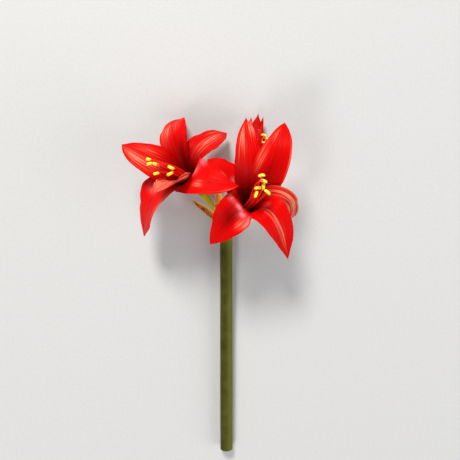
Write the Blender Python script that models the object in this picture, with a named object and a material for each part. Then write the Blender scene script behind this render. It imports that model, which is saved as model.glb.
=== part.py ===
"""Amaryllis stem: a cut, hollow green scape with an umbel of three red blooms, lying on a surface.

The scape lies along Y, with its cut end at -Y and its blooms at +Y. Points are written in
millimetres from the umbel, the place on the scape's axis where the flower stalks part.
An empty then sets the middle of the underside of the whole stem at the world's origin.
"""
import math

import bmesh
import bpy
import numpy as np
from mathutils import Vector

MM = 0.001
GAP = 0.3 * MM

# The scape, a hollow tube that dips a little from the umbel to its cut end.
SCAPE_LENGTH = 311 * MM
SCAPE_TOP_RADIUS = 7.9 * MM
SCAPE_CUT_RADIUS = 8.3 * MM
SCAPE_DROP = 4.8 * MM
BORE_RADIUS = 5.7 * MM
BORE_STOP = 28 * MM
SCAPE_SIDES = 16

# The flower stalks, each of which swells into an ovary below its bloom.
STALK_RADIUS = 2.4 * MM
OVARY_RADIUS = 4.9 * MM
OVARY_LOBES = 0.06
OVARY_LENGTH = 17 * MM

# The perianth tube of a bloom, a small trumpet with a closed floor.
TUBE_LENGTH = 34 * MM
TUBE_BASE_RADIUS = 4.5 * MM
TUBE_MOUTH_RADIUS = 10.5 * MM
TUBE_BASE_WALL = 1.2 * MM
TUBE_MOUTH_WALL = 2.0 * MM
TUBE_FLOOR = 1.5 * MM
TUBE_RINGS = 6
TUBE_SIDES = 18

# The tepals. Each is a cupped blade along a curve that leaves the tube's wall.
BLADE = 0.8 * MM
ROOT_DEPTH = 5 * MM
ROOT_HALF_WIDTH = 4.6 * MM
TIP_HALF_WIDTH = 0.9 * MM
WHORL_STEP = 0.35 * MM
ROOT_CUP = 0.62
BLADE_CUP = 0.35
TIP_CUP = 0.15
WAVE = 1.2 * MM
WAVES = 2.2
BLADE_ROWS = 12
BLADE_COLUMNS = 7
CURVE_STEPS = 201

# The papery bracts at the umbel.
BRACT_CUP = 1.1
BRACT_TIP_HALF_WIDTH = 0.8 * MM
BRACT_ROWS = 9
BRACT_COLUMNS = 5

# The stamens stand on a ring in the tube. The style stands on the tube's floor.
RING_HEIGHT = 20 * MM
RING_RADIUS = 3.7 * MM
RING_THICKNESS = 0.8 * MM
RING_STEPS = 10
FILAMENT_RADIUS = 0.75 * MM
FILAMENT_ROWS = 7
FILAMENT_SIDES = 5
ANTHER_LENGTH = 9 * MM
ANTHER_RADIUS = 1.5 * MM
ANTHER_DROOP = 0.18
STYLE_RADIUS = 0.8 * MM
STIGMA_RADIUS = 1.0 * MM
STIGMA_LENGTH = 3.5 * MM
STRAIGHT_SHARE = 0.55

SLIVER = 0.001 * MM

RED = (0.78, 0.012, 0.008)
DEEP_RED = (0.55, 0.01, 0.01)
YELLOW = (0.85, 0.72, 0.08)
GREEN = (0.11, 0.16, 0.025)
BROWN = (0.50, 0.24, 0.07)


def tepal(turn, shoulder, tip, half_width, flare=20, reach=30, twist=0, widest=0.47, taper=0.88):
    """One tepal: its angle round the tube, two control points of its midrib in mm, and its outline.

    flare is how many degrees it leans out from the tube, and reach is for how many mm it starts that way.
    """
    return {"turn": math.radians(turn), "shoulder": np.array(shoulder) * MM, "tip": np.array(tip) * MM,
            "half_width": half_width * MM, "flare": math.radians(flare), "reach": reach * MM,
            "twist": math.radians(twist), "widest": widest, "taper": taper}


# Each bloom: where its tube starts, where the tube's mouth is, its six tepals, where its anthers hang
# with their headings in degrees from +X, and its style: how far it runs straight, its bend and its end.
BLOOMS = {
    "left": {
        "base": (-30, 44, 12), "mouth": (-47, 64, 33),
        "tepals": [
            tepal(182, (-99, 91, 70), (-125, 104, 40), 20, taper=1.0),
            tepal(122, (-76.5, 132, 33), (-56, 138.3, -12.5), 18.2, reach=20, twist=3, widest=0.56,
                  taper=1.0),
            tepal(66, (-26, 112, 44), (1, 119, -4), 18.5, twist=-35, taper=1.05),
            tepal(-16, (-34, 60, 96), (15, 57, 84), 23, twist=12, widest=0.32, taper=0.9),
            tepal(-60, (-53, 67, 96), (-65, 54, 114), 18.5),
            tepal(-112, (-94, 52, 70), (-102, -9, 32), 25, twist=-4, widest=0.41),
        ],
        "anthers": [(-89, 87, 74, -8), (-87, 82, 81, 10), (-79, 71, 84, 15), (-61, 78, 92, -25),
                    (-62, 71, 96, 28), (-79, 82, 88, -12)],
        "style": (30, (-62, 83, 56), (-74, 81, 102)),
    },
    "right": {
        "base": (18, 18, 24), "mouth": (28, 32, 53),
        "tepals": [
            tepal(98, (25, 86, 95), (24, 135, 50), 17.5, widest=0.43, taper=1.05),
            tepal(54, (60, 94, 92), (69, 129, 55), 19.5),
            tepal(-4, (69, 42, 99), (76, 9, 32), 20, twist=-22),
            tepal(-54, (60, 42, 104), (75, -33, 60), 22.5, flare=8, reach=36, twist=-10, widest=0.28,
                  taper=1.10),
            tepal(-145, (14, 38, 112), (-18.6, -12, 70), 22, flare=10, twist=-15, widest=0.36),
            tepal(150, (-5, 85, 69), (-22, 86, 50), 18.5, twist=20),
        ],
        "anthers": [(40, 70, 104, 20), (42, 64, 108, -20), (36, 56, 101, 10), (34, 49, 102, 70),
                    (46, 52, 110, -40), (42, 58, 103, 85)],
        "style": (45, (28, 59, 92), (38, 65, 114)),
    },
    "back": {
        "base": (6, 29, 0), "mouth": (20, 60, 4),
        "tepals": [
            tepal(40, (35, 100, -5.4), (41, 143, -3), 15, flare=16, reach=26, taper=1.15),
            tepal(-20, (41, 103, -8.4), (47, 139, -5), 15, flare=16, reach=26, taper=1.15),
            tepal(-75, (65, 93, 2), (57, 112, 1), 16.5, flare=16, reach=26, taper=1.0),
            tepal(-135, (58, 93, 28), (54, 109, 20), 16.5, flare=16, reach=26, taper=1.0),
            tepal(165, (38, 100, 38), (37, 123, 28), 16, flare=16, reach=26, taper=1.0),
            tepal(105, (22, 98, 18), (30, 133, 10), 16, flare=16, reach=26, taper=1.0),
        ],
        "anthers": [(48, 116, 8, 70), (52, 111, 6, 60), (41, 110, 12, 40), (42, 106, 0, 100),
                    (32, 105, -1, 120), (48, 106, 14, 20)],
        "style": (35, (36, 101, 3), (42, 121, 4)),
    },
}

# Each papery bract: its root, a control point, its tip, the way its hollow side faces, half its width,
# and how blunt its tip is.
BRACTS = {
    "left": {"root": (-8.7, 2, 0), "bend": (-22, 17, 2.5), "tip": (-45, 31, 8),
             "face": (0.35, 0.5, 0.8), "half_width": 6.0 * MM, "blunt": 7},
    "upper": {"root": (-2, 2.2, 8.0), "bend": (-9.5, 25, 16), "tip": (-10.5, 48, 19),
              "face": (0.35, -0.3, 0.85), "half_width": 9.4 * MM, "blunt": 8},
}


def clear_scene():
    for old in list(bpy.data.objects):
        bpy.data.objects.remove(old, do_unlink=True)


def unit(vector):
    return np.asarray(vector, float) / np.linalg.norm(vector)


def bezier(points, steps):
    """Points of a Bezier curve with any number of control points, by repeated blending."""
    level = [np.asarray(point, float)[None] for point in points]
    t = np.linspace(0, 1, steps)[:, None]
    while len(level) > 1:
        level = [a * (1 - t) + b * t for a, b in zip(level[:-1], level[1:])]
    return level[0]


def smooth_curve(points, fractions):
    """Points at the given fractions of the length of a Bezier curve."""
    curve = bezier(points, CURVE_STEPS)
    run = np.concatenate([[0], np.cumsum(np.linalg.norm(np.diff(curve, axis=0), axis=1))])
    return np.stack([np.interp(fractions * run[-1], run, curve[:, k]) for k in range(3)], axis=-1)


def carried_frames(curve, first_normal):
    """Unit tangents, and normals carried along the curve without turning about it."""
    tangents = np.gradient(curve, axis=0)
    tangents /= np.linalg.norm(tangents, axis=1)[:, None]
    normals = []
    normal = unit(first_normal)
    for tangent in tangents:
        normal = unit(normal - normal @ tangent * tangent)
        normals.append(normal)
    return tangents, np.array(normals)


def axis_frame(axis):
    """Two unit vectors across a bloom's axis: one to the side and one as far up +Y as can be."""
    up = unit(np.array([0, 1, 0]) - axis[1] * axis)
    return np.cross(up, axis), up


def rings_mesh(name, rings, closed=False):
    """A closed mesh skinned over rings of points, capped at both ends or bent round into a loop."""
    mesh = bmesh.new()
    loops = [[mesh.verts.new(Vector(point)) for point in ring] for ring in rings]
    pairs = list(zip(loops[:-1], loops[1:]))
    if closed:
        pairs.append((loops[-1], loops[0]))
    for lower, upper in pairs:
        for k in range(len(lower)):
            n = (k + 1) % len(lower)
            mesh.faces.new((lower[k], lower[n], upper[n], upper[k]))
    if not closed:
        mesh.faces.new(list(reversed(loops[0])))
        mesh.faces.new(loops[-1])
    return finished(name, mesh)


def finished(name, mesh):
    """The bmesh as mesh data, in triangles with their faces out."""
    bmesh.ops.recalc_face_normals(mesh, faces=mesh.faces)
    bmesh.ops.triangulate(mesh, faces=mesh.faces)
    data = bpy.data.meshes.new(name)
    mesh.to_mesh(data)
    mesh.free()
    return data


def tube_rings(curve, radii, sides, lobes=0.0):
    """Rings of a round tube along a curve, with three soft lobes where lobes isn't zero."""
    tangents, normals = carried_frames(curve, np.array([0.13, 0.31, 0.94]))
    turns = np.linspace(0, 2 * np.pi, sides, endpoint=False)
    rings = []
    for centre, tangent, normal, radius in zip(curve, tangents, normals, radii):
        side = np.cross(tangent, normal)
        reach = radius * (1 + lobes * np.cos(3 * turns))
        spokes = np.cos(turns)[:, None] * normal + np.sin(turns)[:, None] * side
        rings.append(centre + reach[:, None] * spokes)
    return rings


def blade_mesh(name, grid, thickness):
    """A closed blade round a grid of points, split into triangles alike on both faces."""
    along = np.gradient(grid, axis=0)
    across = np.gradient(grid, axis=1)
    normals = np.cross(along, across)
    normals /= np.linalg.norm(normals, axis=2)[..., None]
    mesh = bmesh.new()
    front, back = ([[mesh.verts.new(Vector(point)) for point in row] for row in grid + offset * normals]
                   for offset in (thickness / 2, -thickness / 2))
    rows, columns = grid.shape[:2]
    for i in range(rows - 1):
        for j in range(columns - 1):
            for layer in (front, back):
                a, b, c, d = layer[i][j], layer[i + 1][j], layer[i + 1][j + 1], layer[i][j + 1]
                mesh.faces.new((a, b, c))
                mesh.faces.new((a, c, d))
    border = [(i, 0) for i in range(rows)]
    border += [(rows - 1, j) for j in range(1, columns)]
    border += [(i, columns - 1) for i in range(rows - 2, -1, -1)]
    border += [(0, j) for j in range(columns - 2, 0, -1)]
    for (i, j), (m, n) in zip(border, border[1:] + border[:1]):
        mesh.faces.new((front[i][j], front[m][n], back[m][n], back[i][j]))
    return finished(name, mesh)


def bloom_places(bloom):
    """The base, unit axis and two cross directions of a bloom's tube."""
    base = np.array(bloom["base"]) * MM
    axis = unit(np.array(bloom["mouth"]) * MM - base)
    side, up = axis_frame(axis)
    return base, axis, side, up


def tube_radius(height):
    """Outer radius of the perianth tube at a height above its base."""
    return TUBE_BASE_RADIUS + (TUBE_MOUTH_RADIUS - TUBE_BASE_RADIUS) * (height / TUBE_LENGTH) ** 2


def perianth_tube(name, bloom):
    """The trumpet that the tepals stand on, open at its mouth."""
    base, axis, side, up = bloom_places(bloom)
    heights = np.linspace(0, TUBE_LENGTH, TUBE_RINGS)
    outside = [(h, tube_radius(h)) for h in heights]
    walls = np.linspace(TUBE_MOUTH_WALL, TUBE_BASE_WALL, TUBE_RINGS)
    inside = [(max(h, TUBE_FLOOR), tube_radius(max(h, TUBE_FLOOR)) - wall)
              for h, wall in zip(heights[::-1], walls)]
    turns = np.linspace(0, 2 * np.pi, TUBE_SIDES, endpoint=False)
    spokes = np.cos(turns)[:, None] * side + np.sin(turns)[:, None] * up
    return rings_mesh(name, [base + h * axis + r * spokes for h, r in outside + inside])


def outline(q, half_width, widest, taper):
    """Half the width of a tepal at a fraction q of its length: widest part way along, pointed at the tip."""
    rise = taper * widest / (1 - widest)
    body = (q / widest) ** rise * ((1 - q) / (1 - widest)) ** taper
    return np.maximum(ROOT_HALF_WIDTH * (1 - q) ** 2 + half_width * body, TIP_HALF_WIDTH)


def tepal_grid(bloom, petal, order):
    """The middle surface of a tepal: an arc across its midrib, with waves towards its edges."""
    base, axis, side, up = bloom_places(bloom)
    spoke = math.cos(petal["turn"]) * side + math.sin(petal["turn"]) * up
    root_height = TUBE_LENGTH - ROOT_DEPTH
    whorl = WHORL_STEP if order % 2 == 0 else -WHORL_STEP
    wall = tube_radius(root_height) - TUBE_MOUTH_WALL / 2 + whorl
    root = base + root_height * axis + wall * spoke
    flare = petal["flare"]
    leave = root + petal["reach"] * (math.cos(flare) * axis + math.sin(flare) * spoke)

    q = np.linspace(0, 1, CURVE_STEPS)
    midrib = smooth_curve([root, leave, petal["shoulder"], petal["tip"]], q)
    tangents, normals = carried_frames(midrib, math.sin(flare) * axis - math.cos(flare) * spoke)
    sides = np.cross(tangents, normals)
    twist = (petal["twist"] * q ** 1.3)[:, None]
    sides, normals = (np.cos(twist) * sides + np.sin(twist) * normals,
                      np.cos(twist) * normals - np.sin(twist) * sides)

    rows = np.round(np.linspace(0, CURVE_STEPS - 1, BLADE_ROWS)).astype(int)
    q, midrib, sides, normals = q[rows, None], midrib[rows, None], sides[rows, None], normals[rows, None]
    v = np.linspace(-1, 1, BLADE_COLUMNS)[None]
    half = outline(q, petal["half_width"], petal["widest"], petal["taper"])
    cup = ROOT_CUP * (1 - q) ** 3 + BLADE_CUP * 3 * q * (1 - q) + TIP_CUP * q ** 3
    fade = np.clip(3 * q, 0, 1) * np.clip(4 * (1 - q), 0, 1)
    wave = WAVE * fade * np.abs(v) ** 2.5 * np.sin(2 * np.pi * WAVES * q + 1.3 * order + 1.7 * (v > 0))
    across = half / cup * np.sin(cup * v)
    lift = half / cup * (1 - np.cos(cup * v)) + wave
    return midrib + across[..., None] * sides + lift[..., None] * normals


def filament(name, points, radius):
    """A thin stalk along a curve from its root to its tip."""
    curve = smooth_curve(points, np.linspace(0, 1, FILAMENT_ROWS))
    return rings_mesh(name, tube_rings(curve, np.full(FILAMENT_ROWS, radius), FILAMENT_SIDES))


def anther(name, middle, stalk, heading):
    """A bent pollen sac set crosswise on the end of its filament."""
    lean = unit(stalk)
    along = np.array([math.cos(heading), math.sin(heading), 0])
    reach = unit(along - along @ lean * lean) * ANTHER_LENGTH / 2
    droop = lean * ANTHER_LENGTH * ANTHER_DROOP
    radii = ANTHER_RADIUS * np.array([0.45, 0.9, 1, 0.9, 0.45])
    curve = smooth_curve([middle - reach - droop, middle + droop, middle + reach - droop],
                         np.linspace(0, 1, len(radii)))
    return rings_mesh(name, tube_rings(curve, radii, FILAMENT_SIDES))


def anther_turns(bloom):
    """The root's angle on the ring, the place and the heading of each anther, in turn so that none cross."""
    _, _, side, up = bloom_places(bloom)
    tips = np.array(bloom["anthers"], float)[:, :3] * MM
    headings = np.radians(np.array(bloom["anthers"], float)[:, 3])
    spread = tips - tips.mean(axis=0)
    turns = np.arctan2(spread @ up, spread @ side)
    order = np.argsort(turns)
    even = np.arange(6) * math.tau / 6
    return list(zip(even + (turns[order] - even).mean(), tips[order], headings[order]))


def stamens(name, bloom):
    """Six filaments on a ring in the tube, each with its anther."""
    base, axis, side, up = bloom_places(bloom)
    centre = base + RING_HEIGHT * axis
    turns = np.linspace(0, 2 * np.pi, RING_STEPS, endpoint=False)
    section = np.linspace(0, 2 * np.pi, FILAMENT_SIDES, endpoint=False)
    rings = []
    for turn in turns:
        spoke = math.cos(turn) * side + math.sin(turn) * up
        rim = np.cos(section)[:, None] * spoke + np.sin(section)[:, None] * axis
        rings.append(centre + RING_RADIUS * spoke + RING_THICKNESS * rim)
    pieces = [rings_mesh(name, rings, closed=True)]
    for turn, tip, heading in anther_turns(bloom):
        root = centre + RING_RADIUS * (math.cos(turn) * side + math.sin(turn) * up)
        leave = root + STRAIGHT_SHARE * np.linalg.norm(tip - root) * axis
        pieces.append(filament(name, [root, leave, tip], FILAMENT_RADIUS))
        pieces.append(anther(name, tip, tip - leave, heading))
    return pieces


def pistil(name, bloom):
    """The style, from the tube's floor, with its three-lobed stigma."""
    base, axis, side, up = bloom_places(bloom)
    root = base + (TUBE_FLOOR + GAP) * axis
    straight, bend, tip = (np.array(value) * MM for value in bloom["style"])
    pieces = [filament(name, [root, root + straight * axis, bend, tip], STYLE_RADIUS)]
    ahead = unit(tip - bend)
    first, second = axis_frame(ahead)
    radii = STIGMA_RADIUS * np.array([0.7, 0.9, 1, 0.9, 0.6])
    for turn in np.radians([90, 210, 330]):
        out = math.cos(turn) * first + math.sin(turn) * second
        end = tip + STIGMA_LENGTH * (0.5 * ahead + 0.9 * out)
        lobe = bezier([tip - 0.5 * MM * ahead, tip + 1.5 * MM * ahead, end], len(radii))
        pieces.append(rings_mesh(name, tube_rings(lobe, radii, 6)))
    return pieces


def scape(name):
    """The hollow flower stalk, closed at the umbel and open at its cut end."""
    cut = np.array([0, -SCAPE_LENGTH, -SCAPE_DROP])
    run = cut / np.linalg.norm(cut)
    length = np.linalg.norm(cut)
    shoulder = [(-6.0 * MM, 0.35), (-4.5 * MM, 0.75), (-1.5 * MM, 0.96)]
    outside = [(s, SCAPE_TOP_RADIUS * share) for s, share in shoulder]
    outside += [(s * length, SCAPE_TOP_RADIUS + (SCAPE_CUT_RADIUS - SCAPE_TOP_RADIUS) * s)
                for s in np.linspace(0.03, 1, 6)]
    inside = [(length, BORE_RADIUS), (length / 2, BORE_RADIUS), (BORE_STOP, BORE_RADIUS),
              (BORE_STOP - 3 * MM, 0.6 * BORE_RADIUS)]
    across = np.array([1.0, 0, 0])
    turns = np.linspace(0, 2 * np.pi, SCAPE_SIDES, endpoint=False) + np.pi / 2
    spokes = np.cos(turns)[:, None] * across + np.sin(turns)[:, None] * np.cross(across, run)
    pieces = [rings_mesh(name, [s * run + radius * spokes for s, radius in outside + inside])]
    for bloom in BLOOMS.values():
        pieces.append(flower_stalk(name, bloom))
    return pieces


def flower_stalk(name, bloom):
    """A short stalk from the umbel that swells into the three-lobed ovary below a bloom."""
    base, axis, _, _ = bloom_places(bloom)
    end = base - GAP * axis
    start = unit(base * [1, 0.6, 0.7]) * 2 * MM
    steps = np.linspace(0, 1, 12)
    straight = [end - share * OVARY_LENGTH * axis for share in (1, 0.4, 0)]
    curve = smooth_curve([start, 0.45 * base, *straight], steps)
    length = np.linalg.norm(np.diff(curve, axis=0), axis=1).sum()
    ovary = OVARY_LENGTH / length
    marks = np.array([0, 1 - 1.35 * ovary, 1 - 0.85 * ovary, 1 - 0.45 * ovary, 1 - 0.15 * ovary, 1])
    radii = np.array([STALK_RADIUS, STALK_RADIUS, 0.75 * OVARY_RADIUS, OVARY_RADIUS, 0.97 * OVARY_RADIUS,
                      0.88 * OVARY_RADIUS])
    return rings_mesh(name, tube_rings(curve, np.interp(steps, marks, radii), 12, OVARY_LOBES))


def bract(name, sizes):
    """A papery spathe valve: a narrow hollow blade that tapers to its tip."""
    root, bend, tip = (np.array(sizes[key]) * MM for key in ("root", "bend", "tip"))
    q = np.linspace(0, 1, BRACT_ROWS)
    midrib = smooth_curve([root, bend, tip], q)
    tangents, normals = carried_frames(midrib, sizes["face"])
    sides = np.cross(tangents, normals)
    v = np.linspace(-1, 1, BRACT_COLUMNS)[None]
    spread = (0.5 + 0.5 * np.sin(np.pi * q ** 0.8)) * np.sqrt(1 - q ** sizes["blunt"])
    half = np.maximum(sizes["half_width"] * spread, BRACT_TIP_HALF_WIDTH)[:, None]
    across = half / BRACT_CUP * np.sin(BRACT_CUP * v)
    lift = half / BRACT_CUP * (1 - np.cos(BRACT_CUP * v))
    grid = midrib[:, None] + across[..., None] * sides[:, None] + lift[..., None] * normals[:, None]
    return [blade_mesh(name, grid, BLADE)]


def bloom_pieces(name, bloom):
    """The perianth tube and its six tepals."""
    pieces = [perianth_tube(name, bloom)]
    for order, petal in enumerate(bloom["tepals"]):
        pieces.append(blade_mesh(name, tepal_grid(bloom, petal, order), BLADE))
    return pieces


def material(name, colour, roughness):
    made = bpy.data.materials.new(name)
    made.use_nodes = True
    shader = made.node_tree.nodes["Principled BSDF"]
    shader.inputs["Base Color"].default_value = (*colour, 1)
    shader.inputs["Roughness"].default_value = roughness
    made.diffuse_color = (*colour, 1)
    return made


def fused(name, pieces):
    """The pieces as one mesh, by one Boolean union on a collection that is then removed."""
    first = bpy.data.objects.new(name, pieces[0])
    bpy.context.scene.collection.objects.link(first)
    if len(pieces) > 1:
        parts = bpy.data.collections.new(name + "_pieces")
        bpy.context.scene.collection.children.link(parts)
        for piece in pieces[1:]:
            parts.objects.link(bpy.data.objects.new(name + "_piece", piece))
        union = first.modifiers.new("union", "BOOLEAN")
        union.operation = "UNION"
        union.operand_type = "COLLECTION"
        union.collection = parts
        union.solver = "EXACT"
        joined = bpy.data.meshes.new_from_object(first.evaluated_get(bpy.context.evaluated_depsgraph_get()))
        first.modifiers.remove(union)
        first.data = joined
        for old in list(parts.objects):
            bpy.data.objects.remove(old, do_unlink=True)
        bpy.data.collections.remove(parts)
    return first


def node(name, pieces, colour, roughness, parent):
    """One named object of the stem, with its own material, under the stem's empty."""
    made = fused(name, pieces)
    mesh = bmesh.new()
    mesh.from_mesh(made.data)
    bmesh.ops.dissolve_degenerate(mesh, dist=SLIVER, edges=mesh.edges)
    bmesh.ops.triangulate(mesh, faces=mesh.faces)
    mesh.to_mesh(made.data)
    mesh.free()
    made.data.materials.clear()
    made.data.materials.append(material(name, colour, roughness))
    made.data.shade_smooth()
    made.data.set_sharp_from_angle(angle=math.radians(40))
    made.parent = parent
    return made


def set_on_ground(parent, nodes):
    """Move the empty so that the middle of the underside of all nodes is at the origin."""
    points = np.concatenate([np.array([vertex.co for vertex in made.data.vertices]) for made in nodes])
    low, high = points.min(axis=0), points.max(axis=0)
    parent.location = (-(low[0] + high[0]) / 2, -(low[1] + high[1]) / 2, -low[2])


def main():
    clear_scene()
    umbel = bpy.data.objects.new("umbel", None)
    bpy.context.scene.collection.objects.link(umbel)
    nodes = [node("scape", scape("scape"), GREEN, 0.5, umbel)]
    for place, sizes in BRACTS.items():
        nodes.append(node(f"spathe_{place}", bract(f"spathe_{place}", sizes), BROWN, 0.8, umbel))
    for place, bloom in BLOOMS.items():
        nodes.append(node(f"bloom_{place}", bloom_pieces(f"bloom_{place}", bloom), RED, 0.45, umbel))
        nodes.append(node(f"stamens_{place}", stamens(f"stamens_{place}", bloom), YELLOW, 0.7, umbel))
        nodes.append(node(f"pistil_{place}", pistil(f"pistil_{place}", bloom), DEEP_RED, 0.5, umbel))
    set_on_ground(umbel, nodes)


main()
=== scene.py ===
"""Amaryllis stem: the looks of a cut green scape and its red blooms, lying on a pale floor.

The frame gives the place of the umbel, where the flower stalks part on the scape's axis. Points
are in millimetres from there. Every shape is a grid of points, worked out as whole arrays from
two parameters: one along a petal, stalk or tube and one across or round it.
"""
import math

import bmesh
import bpy
import numpy as np
from mathutils import Matrix, Vector


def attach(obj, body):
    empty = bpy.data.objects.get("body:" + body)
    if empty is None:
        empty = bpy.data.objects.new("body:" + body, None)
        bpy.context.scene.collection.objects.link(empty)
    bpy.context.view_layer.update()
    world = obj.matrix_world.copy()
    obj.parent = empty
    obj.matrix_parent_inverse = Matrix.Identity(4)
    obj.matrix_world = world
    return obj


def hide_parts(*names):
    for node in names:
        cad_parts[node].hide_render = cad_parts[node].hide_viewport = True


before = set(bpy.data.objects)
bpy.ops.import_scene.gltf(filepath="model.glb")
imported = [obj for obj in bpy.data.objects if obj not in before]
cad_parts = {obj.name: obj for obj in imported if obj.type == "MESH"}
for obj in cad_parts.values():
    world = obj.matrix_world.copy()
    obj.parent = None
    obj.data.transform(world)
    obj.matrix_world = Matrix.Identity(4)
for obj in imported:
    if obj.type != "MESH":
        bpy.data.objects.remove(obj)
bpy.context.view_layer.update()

bl_info = {
    "name": "Amaryllis stem",
    "version": (1, 0, 0),
    "blender": (4, 5, 0),
    "location": "View3D > Sidebar > Amaryllis",
    "description": "Dresses the packed solids of a cut amaryllis stem with petals, stamens and stalk",
    "category": "Add Mesh",
}

MM = 0.001
FULL_TURN = 2 * np.pi
CURVE_STEPS = 401

# The solids' own sizes, repeated so that each surface lies where its solid does.
SCAPE_LENGTH = 311 * MM
SCAPE_TOP_RADIUS = 7.9 * MM
SCAPE_CUT_RADIUS = 8.3 * MM
SCAPE_DROP = 4.8 * MM
BORE_RADIUS = 5.7 * MM
BORE_STOP = 28 * MM
STALK_RADIUS = 2.4 * MM
OVARY_RADIUS = 4.9 * MM
OVARY_LENGTH = 17 * MM
TUBE_LENGTH = 34 * MM
TUBE_BASE_RADIUS = 4.5 * MM
TUBE_MOUTH_RADIUS = 10.5 * MM
TUBE_FLOOR = 1.5 * MM
ROOT_DEPTH = 5 * MM
ROOT_HALF_WIDTH = 4.6 * MM
ROOT_WALL = 1.0 * MM
WHORL_STEP = 0.35 * MM
ROOT_CUP = 0.62
BLADE_CUP = 0.35
TIP_CUP = 0.15
WAVE = 1.2 * MM
WAVES = 2.2
RING_HEIGHT = 20 * MM
RING_RADIUS = 3.7 * MM
STRAIGHT_SHARE = 0.55
BRACT_CUP = 1.1
SEAT_GAP = 0.3 * MM

# Relief and fine sizes that only the looks have.
TEPAL_FRILL = 0.45 * MM
TEPAL_SWELL = 0.55 * MM
GROOVE_HALF_WIDTH = 1.7 * MM
RIB_HALF_WIDTH = 3 * MM
RIB_SHADE_HALF_WIDTH = 1.6 * MM
TUBE_RIB = 0.35 * MM
STYLE_RADIUS = 0.75 * MM
STIGMA_RADIUS = 0.85 * MM
STIGMA_LENGTH = 3.5 * MM
BRACT_THICKNESS = 0.30 * MM
BRACT_CRINKLE = 0.35 * MM
BRACT_RIB = 0.10 * MM
BRACT_CURL = 1.6 * MM

# The scape's rounded top, as mm down from the umbel and shares of its radius, and the relief of its
# cut face, as mm past its end and mm in from its skin.
SCAPE_SHOULDER = np.array([(-6.2, 0.10), (-6.0, 0.40), (-5.3, 0.62), (-4.3, 0.78), (-3.0, 0.89),
                           (-1.5, 0.96)])
CUT_FACE = np.array([(0.1, 0.15), (0.25, 0.5), (-0.1, 1.2), (-0.2, 1.8), (0.05, 2.3)]) * MM
BORE_ROWS = 30

# A direction that no stalk runs along, to start the frames that are carried along them.
STALK_NORMAL = (0.13, 0.31, 0.94)

# Second tones of the stalks, the bracts and the pollen.
SCAPE_STREAK = (0.075, 0.073, 0.006)
# Painted light: the tone that makes one side of the scape's skin lighter.
SCAPE_PAINTED_LIGHT = (0.17, 0.17, 0.022)
SCAPE_VEIN = (0.032, 0.036, 0.002)
SCAPE_CLOUD = (0.22, 0.24, 0.06)
STALK_STREAK = (0.34, 0.42, 0.008)
STALK_VEIN = (0.20, 0.25, 0.006)
PITH_SPECK = (0.22, 0.30, 0.08)
BRACT_VEIN = (1.0, 0.48, 0.05)
BRACT_BLOTCH = (0.42, 0.05, 0.006)
POLLEN_LIGHT = (1.0, 1.0, 0.28)
# Painted shade: the ochre tone in the crease along each anther's seam.
POLLEN_SEAM_SHADE = (0.80, 0.42, 0.02)

# Where the camera and the lamps look, in metres from the umbel, how far off the lamps are from there,
# and how far the floor reaches.
CAMERA_TARGET = (0.005, -0.0053, 0)
LAMP_TARGET = (0, 0.05, 0.05)
LAMP_DISTANCE = 3.0
FLOOR_REACH = 6.0


def tepal(turn, shoulder, tip, half_width, flare=20, reach=30, twist=0, widest=0.47, taper=0.88, pleat=1.0,
          wave=1.0, roll=0.8, hook=0.0, shade=0.42, bulges=(), pale=((0.7, 0, 0.3, 0.2, 0.4),), sheen=()):
    """One tepal, from sizes in mm, angles in degrees, and places along and across it.

    turn is its angle round the tube, and shoulder and tip are the last two points that shape its midrib.
    It leans out by flare, keeps that way for reach, and turns by twist up to its point. widest is where it
    is widest, and taper how fast it narrows from there. pleat and wave scale its ribs and edge waves, roll
    is how far its edges turn back, hook how far its point does, and shade how far the throat's dark red
    reaches, which is partly painted shade. Each bulge widens one edge: where along, how long it fades
    towards the root and the point, which edge, and how much. pale and sheen are soft oval spots of painted
    highlight, salmon and pink: where along and across, how strong, and how long and wide. A pale spot
    below zero is painted shade, darker.
    """
    return dict(turn=math.radians(turn), shoulder=np.array(shoulder) * MM, tip=np.array(tip) * MM,
                half_width=half_width * MM, flare=math.radians(flare), reach=reach * MM,
                twist=math.radians(twist), widest=widest, taper=taper, pleat=pleat, wave=wave, roll=roll * MM,
                hook=hook * MM, shade=shade, bulges=bulges, pale=pale, sheen=sheen)


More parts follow.
